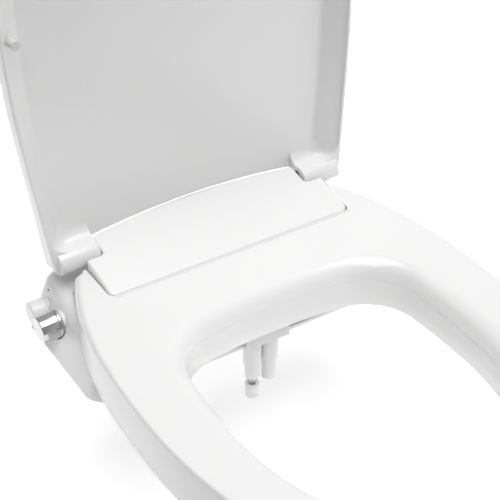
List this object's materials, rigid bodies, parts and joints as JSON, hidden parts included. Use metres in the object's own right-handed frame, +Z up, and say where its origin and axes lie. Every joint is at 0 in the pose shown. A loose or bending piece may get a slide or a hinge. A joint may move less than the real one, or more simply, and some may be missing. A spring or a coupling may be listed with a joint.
{
  "type": "bidet seat",
  "caption": "Elongated soft-close toilet seat with lid and a built-in water-powered bidet: side control knobs and twin telescoping nozzles under the rear of the ring.",
  "frame": {"origin": "midway between the two seat bolts, on the plane of the toilet rim", "axes": "+Z up, +Y towards the cistern, +X to the right as seen by someone facing the seat from the front"},
  "size_m": [0.356, 0.5578, 0.6332],
  "materials": {
    "shell_white": "glossy injection-moulded polypropylene",
    "knob_white": "satin-gloss moulded plastic",
    "knob_chrome": "bright chrome-plated plastic",
    "inner_white": "satin moulded plastic",
    "inner_grey": "matte moulded plastic",
    "nozzle_white": "satin-gloss moulded plastic",
    "nozzle_clear": "milky translucent plastic",
    "hose_clear": "translucent flexible hose",
    "steel": "stainless steel",
    "brass": "turned brass",
    "rubber_grey": "matte rubber",
    "rubber_dark": "matte rubber",
    "rubber_white": "matte soft rubber",
    "mark_dark": "printed or inlaid dark mark"
  },
  "bodies": {
    "base": {"base_shell": "shell_white", "centre_cover": "shell_white", "base_tray": "inner_white", "adjuster_plates": "inner_grey", "bolt_washers": "steel", "bolt_gaskets": "rubber_grey", "seat_bolts": "steel", "base_pads": "rubber_grey", "tray_screws": "steel", "mode_index_mark": "mark_dark", "hinge_housing": "inner_white", "seat_damper_left": "inner_grey", "seat_damper_right": "inner_grey", "lid_hinge_pin_left": "steel", "lid_hinge_pin_right": "steel", "valve_body": "inner_grey", "pressure_cartridge": "brass", "mode_cartridge": "brass", "spindle_seals": "rubber_dark", "water_inlet": "inner_white", "inlet_strainer": "steel", "inlet_tube": "hose_clear", "rear_wash_tube": "hose_clear", "front_wash_tube": "hose_clear", "nozzle_casing": "inner_white", "nozzle_manifold": "inner_grey", "rear_nozzle_sleeve": "nozzle_white", "front_nozzle_sleeve": "nozzle_white", "rear_nozzle_guide": "nozzle_white", "front_nozzle_guide": "nozzle_white", "rear_nozzle_spring": "steel", "front_nozzle_spring": "steel"},
    "seat": {"seat_shell": "shell_white", "seat_pan": "inner_white", "seat_bumpers": "rubber_white", "seat_hinge_shaft_left": "steel", "seat_hinge_shaft_right": "steel", "seat_hinge_bushes": "inner_grey"},
    "lid": {"lid_shell": "shell_white", "lid_bumpers": "rubber_white", "lid_damper_left": "inner_grey", "lid_damper_right": "inner_grey"},
    "pressure_control": {"pressure_knob": "knob_chrome", "pressure_spindle": "inner_grey", "pressure_index_dot": "mark_dark"},
    "mode_control": {"mode_knob": "knob_white", "mode_spindle": "inner_grey"},
    "rear_nozzle": {"rear_nozzle_rod": "nozzle_clear", "rear_nozzle_head": "nozzle_white", "rear_nozzle_piston": "rubber_dark"},
    "front_nozzle": {"front_nozzle_rod": "nozzle_clear", "front_nozzle_head": "nozzle_white", "front_nozzle_piston": "rubber_dark"}
  },
  "joints": [
    {"name": "lid_hinge", "type": "hinge", "parent": "base", "child": "lid", "pos_m": [0, 0.0265, 0.0748], "axis": [-1, 0, 0], "range_deg": [-95, 8]},
    {"name": "seat_hinge", "type": "hinge", "parent": "base", "child": "seat", "pos_m": [0, -0.001, 0.057], "axis": [-1, 0, 0], "range_deg": [0, 90]},
    {"name": "pressure_knob_turn", "type": "hinge", "parent": "base", "child": "pressure_control", "pos_m": [-0.16, 0.0055, 0.028], "axis": [-1, 0, 0], "range_deg": [0, 180]},
    {"name": "mode_knob_turn", "type": "hinge", "parent": "base", "child": "mode_control", "pos_m": [-0.16, 0.0337, 0.025], "axis": [-1, 0, 0], "range_deg": [-90, 90]},
    {"name": "rear_nozzle_slide", "type": "slide", "parent": "base", "child": "rear_nozzle", "axis": [0, 0, -1], "range_m": [-0.0085, 0.03], "stiffness_N_per_m": 20, "deforming": ["rear_nozzle_spring"]},
    {"name": "front_nozzle_slide", "type": "slide", "parent": "base", "child": "front_nozzle", "axis": [0, 0, -1], "range_m": [0, 0.03], "stiffness_N_per_m": 20, "deforming": ["front_nozzle_spring"]}
  ]
}
